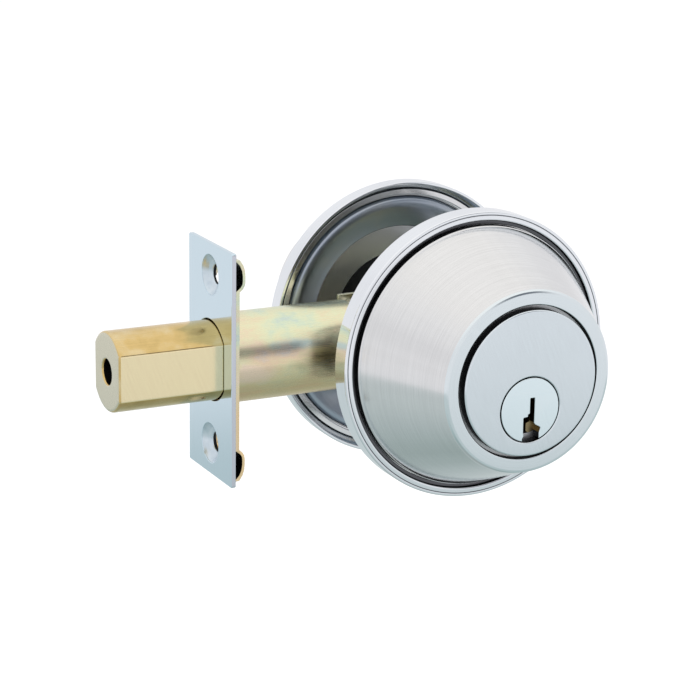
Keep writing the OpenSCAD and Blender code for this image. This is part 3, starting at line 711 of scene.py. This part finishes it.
# ---------------------------------------------------------------- floor, light, camera
bpy.ops.mesh.primitive_circle_add(vertices=96, radius=30, fill_type="NGON", location=(0, 0, -0.42))
floor = bpy.context.object
floor.name = "floor"
ft = Tree("floor_plain")
x, y, z = ft.xyz()
ft.link(ft.mix(ft.noise(ft.vec(x, y, z), 3.0), (0.90, 0.90, 0.90), (0.93, 0.93, 0.93)), ft.bsdf.inputs["Base Color"])
ft.bsdf.inputs["Roughness"].default_value = 0.9
ft.bsdf.inputs["Emission Color"].default_value = (1, 1, 1, 1)
ft.bsdf.inputs["Emission Strength"].default_value = 0.16
ft.bsdf.inputs["Specular IOR Level"].default_value = 0.1
floor.data.materials.append(ft.mat)
floor.visible_glossy = False

world = bpy.data.worlds.new("studio")
bpy.context.scene.world = world
world.use_nodes = True
wt = world.node_tree
wt.nodes.clear()
wo = wt.nodes.new("ShaderNodeOutputWorld")
bg = wt.nodes.new("ShaderNodeBackground")
wt.links.new(bg.outputs[0], wo.inputs[0])
tc = wt.nodes.new("ShaderNodeTexCoord")
sx = wt.nodes.new("ShaderNodeSeparateXYZ")
wt.links.new(tc.outputs["Generated"], sx.inputs[0])
mr = wt.nodes.new("ShaderNodeMapRange")
mr.inputs["From Min"].default_value = -1.0
mr.inputs["From Max"].default_value = 1.0
wt.links.new(sx.outputs[2], mr.inputs["Value"])
cr = wt.nodes.new("ShaderNodeValToRGB")


def lift(z):
    return (z + 1) / 2


stops = [(lift(-1.0), (0.40, 0.42, 0.41)), (lift(-.88), (0.37, 0.455, 0.45)), (lift(-.76), (0.48, 0.56, 0.565)), (lift(-.56), (0.57, 0.64, 0.645)),
         (lift(-.315), (0.60, 0.66, 0.67)), (lift(-.285), (0.88, 0.885, 0.91)), (lift(0.0), (0.87, 0.87, 0.89)), (lift(.33), (0.86, 0.86, 0.88)),
         (lift(.6), (0.95, 0.95, 0.96)), (lift(.85), (1.02, 1.01, 1.0)), (1.0, (1.03, 1.02, 1.01))]
els = cr.color_ramp.elements
while len(els) < len(stops):
    els.new(0.5)
for e, (p, c) in zip(els, stops):
    e.position, e.color = p, (*c, 1)
wt.links.new(mr.outputs[0], cr.inputs[0])
# a dim opening in the studio, out in front and to the right, draws the soft dark streak along the tube
dot = wt.nodes.new("ShaderNodeVectorMath")
dot.operation = "DOT_PRODUCT"
wt.links.new(tc.outputs["Generated"], dot.inputs[0])
dot.inputs[1].default_value = Vector((.43, -.83, .36)).normalized()
dm = wt.nodes.new("ShaderNodeMapRange")
dm.interpolation_type = "SMOOTHSTEP"
dm.inputs["From Min"].default_value, dm.inputs["From Max"].default_value = math.cos(math.radians(17)), math.cos(math.radians(5))
wt.links.new(dot.outputs["Value"], dm.inputs["Value"])
dk = wt.nodes.new("ShaderNodeMix")
dk.data_type = "RGBA"
wt.links.new(dm.outputs[0], dk.inputs[0])
wt.links.new(cr.outputs[0], dk.inputs[6])
dk.inputs[7].default_value = (0.13, 0.15, 0.18, 1)
# what the camera itself sees past the object is plain white
lp = wt.nodes.new("ShaderNodeLightPath")
wh = wt.nodes.new("ShaderNodeMix")
wh.data_type = "RGBA"
wt.links.new(lp.outputs["Is Camera Ray"], wh.inputs[0])
wt.links.new(dk.outputs[2], wh.inputs[6])
wh.inputs[7].default_value = (1.4, 1.4, 1.4, 1)
wt.links.new(wh.outputs[2], bg.inputs[0])
bg.inputs[1].default_value = 1.0


def area(name, loc, to, size, power, size_y=None):
    li = bpy.data.lights.new(name, "AREA")
    li.shape = "RECTANGLE"
    li.size, li.size_y = size, size_y or size
    li.energy = power
    ob = bpy.data.objects.new(name, li)
    bpy.context.scene.collection.objects.link(ob)
    ob.location = loc
    ob.rotation_euler = (Vector(to) - Vector(loc)).to_track_quat("-Z", "Y").to_euler()
    return ob


for soft in (area("key", (-0.5, -0.7, 1.1), (0, 0, 0), 0.9, 9), area("fill", (0.9, -0.6, 0.6), (0, 0, 0), 0.8, 3)):
    soft.visible_glossy = False

az, el, roll = math.radians(-26.627), math.radians(15.240), 0.01437
b = Vector((math.sin(az) * math.cos(el), -math.cos(az) * math.cos(el), math.sin(el)))
right = (-b).cross(Vector((0, 0, 1))).normalized()
up = right.cross(-b)
r2 = right * math.cos(roll) + up * math.sin(roll)
u2 = -right * math.sin(roll) + up * math.cos(roll)
cam_data = bpy.data.cameras.new("camera")
cam = bpy.data.objects.new("camera", cam_data)
bpy.context.scene.collection.objects.link(cam)
loc = Vector((-26.161, 0, 4.187)) * MM + b * 577.992 * MM
cam.matrix_world = Matrix(((r2.x, u2.x, b.x, loc.x), (r2.y, u2.y, b.y, loc.y), (r2.z, u2.z, b.z, loc.z), (0, 0, 0, 1)))
cam_data.sensor_width = 36
cam_data.lens = 2367.283 / 700 * 36
cam_data.shift_x, cam_data.shift_y = 0.01806, -0.03184
cam_data.clip_start, cam_data.clip_end = 0.05, 60
bpy.context.scene.camera = cam
bpy.context.scene.view_settings.view_transform = "Standard"
